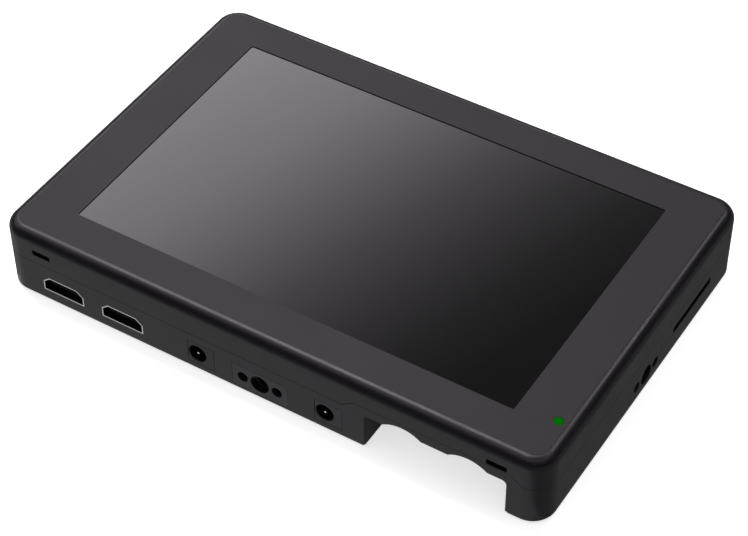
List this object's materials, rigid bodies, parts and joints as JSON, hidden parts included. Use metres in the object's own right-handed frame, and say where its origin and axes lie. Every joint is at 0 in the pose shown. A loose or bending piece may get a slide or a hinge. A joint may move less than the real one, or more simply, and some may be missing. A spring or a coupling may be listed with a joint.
{
  "type": "camera field monitor",
  "caption": "Flat camera field monitor lying on its back: glass screen in a matte frame, video and power sockets, threaded mount points, card slot and open battery bay.",
  "frame": {"origin": "middle of the back face, which rests on Z = 0", "axes": "+X along the screen to the right, +Y towards the screen's top edge (the key side), +Z out of the screen"},
  "size_m": [0.189, 0.1254, 0.0255],
  "materials": {
    "shell": "fine moulded texture",
    "bezel": "matte",
    "cover_glass": "glossy, dark behind",
    "foam": "matte",
    "sheet_steel": "satin",
    "display_cell": "glossy",
    "diffuser": "matte",
    "sheet_aluminium": "satin",
    "circuit_board": "satin solder mask",
    "led_lens": "glossy",
    "green_lens": "glossy, translucent",
    "chip_epoxy": "matte",
    "socket_plastic": "matte",
    "black_aluminium": "anodised",
    "bright_metal": "nickel plated",
    "black_plastic": "matte",
    "grey_plastic": "matte",
    "key_plastic": "matte",
    "plunger_plastic": "matte",
    "contact_brass": "gold plated",
    "latch_plastic": "matte",
    "spring_steel": "bright",
    "mount_metal": "dark anodised",
    "flex_film": "glossy film",
    "black_screw": "black oxide",
    "bright_screw": "zinc plated"
  },
  "bodies": {
    "housing": {"front_shell": "shell", "front_bezel": "bezel", "cover_glass": "cover_glass", "glass_gasket": "foam", "lcd_top_frame": "sheet_steel", "lcd_cell": "display_cell", "backlight_unit": "diffuser", "lcd_tray": "sheet_steel", "chassis_plate": "sheet_aluminium", "led_board": "circuit_board", "status_led": "led_lens", "light_pipe": "green_lens", "main_board": "circuit_board", "board_chips": "chip_epoxy", "board_power_parts": "grey_plastic", "board_sockets": "socket_plastic", "processor": "chip_epoxy", "heat_sink": "black_aluminium", "video_in_shell": "bright_metal", "video_in_insert": "black_plastic", "video_out_shell": "bright_metal", "video_out_insert": "black_plastic", "power_inlet": "grey_plastic", "power_inlet_pin": "bright_metal", "power_outlet": "grey_plastic", "power_outlet_pin": "bright_metal", "card_socket": "sheet_steel", "card_spring": "spring_steel", "blower_housing": "black_plastic", "blower_lid": "black_plastic", "key_board": "circuit_board", "key_switches": "sheet_steel", "rear_cover": "shell", "battery_plate": "black_plastic", "battery_contacts": "contact_brass", "latch_spring": "spring_steel", "mount_block_bottom": "mount_metal", "mount_block_side": "mount_metal", "lcd_flex": "flex_film", "battery_lead": "flex_film", "cover_screws": "black_screw", "board_screws": "bright_screw", "plate_screws": "bright_screw", "block_screws": "black_screw", "blower_screws": "bright_screw"},
    "power_key": {"power_key": "key_plastic", "power_plunger": "plunger_plastic"},
    "key_1": {"key_1": "key_plastic", "key_1_plunger": "plunger_plastic"},
    "key_2": {"key_2": "key_plastic", "key_2_plunger": "plunger_plastic"},
    "key_3": {"key_3": "key_plastic", "key_3_plunger": "plunger_plastic"},
    "key_4": {"key_4": "key_plastic", "key_4_plunger": "plunger_plastic"},
    "battery_latch": {"battery_latch": "latch_plastic"},
    "card_slide": {"card_slide": "black_plastic"},
    "blower_rotor": {"blower_rotor": "black_plastic"}
  },
  "joints": [
    {"name": "power_key_press", "type": "slide", "parent": "housing", "child": "power_key", "axis": [0, -1, 0], "range_m": [0, 0.0005], "stiffness_N_per_m": 1500},
    {"name": "key_1_press", "type": "slide", "parent": "housing", "child": "key_1", "axis": [0, -1, 0], "range_m": [0, 0.0005], "stiffness_N_per_m": 1500},
    {"name": "key_2_press", "type": "slide", "parent": "housing", "child": "key_2", "axis": [0, -1, 0], "range_m": [0, 0.0005], "stiffness_N_per_m": 1500},
    {"name": "key_3_press", "type": "slide", "parent": "housing", "child": "key_3", "axis": [0, -1, 0], "range_m": [0, 0.0005], "stiffness_N_per_m": 1500},
    {"name": "key_4_press", "type": "slide", "parent": "housing", "child": "key_4", "axis": [0, -1, 0], "range_m": [0, 0.0005], "stiffness_N_per_m": 1500},
    {"name": "battery_latch_press", "type": "slide", "parent": "housing", "child": "battery_latch", "axis": [0, 0, 1], "range_m": [0, 0.0015], "stiffness_N_per_m": 800, "deforming": ["latch_spring"]},
    {"name": "card_slide_push", "type": "slide", "parent": "housing", "child": "card_slide", "axis": [-1, 0, 0], "range_m": [0, 0.003], "stiffness_N_per_m": 500, "deforming": ["card_spring"]},
    {"name": "blower_spin", "type": "hinge", "parent": "housing", "child": "blower_rotor", "pos_m": [-0.052, 0.002, 0.005], "axis": [0, 0, 1], "continuous": true}
  ]
}
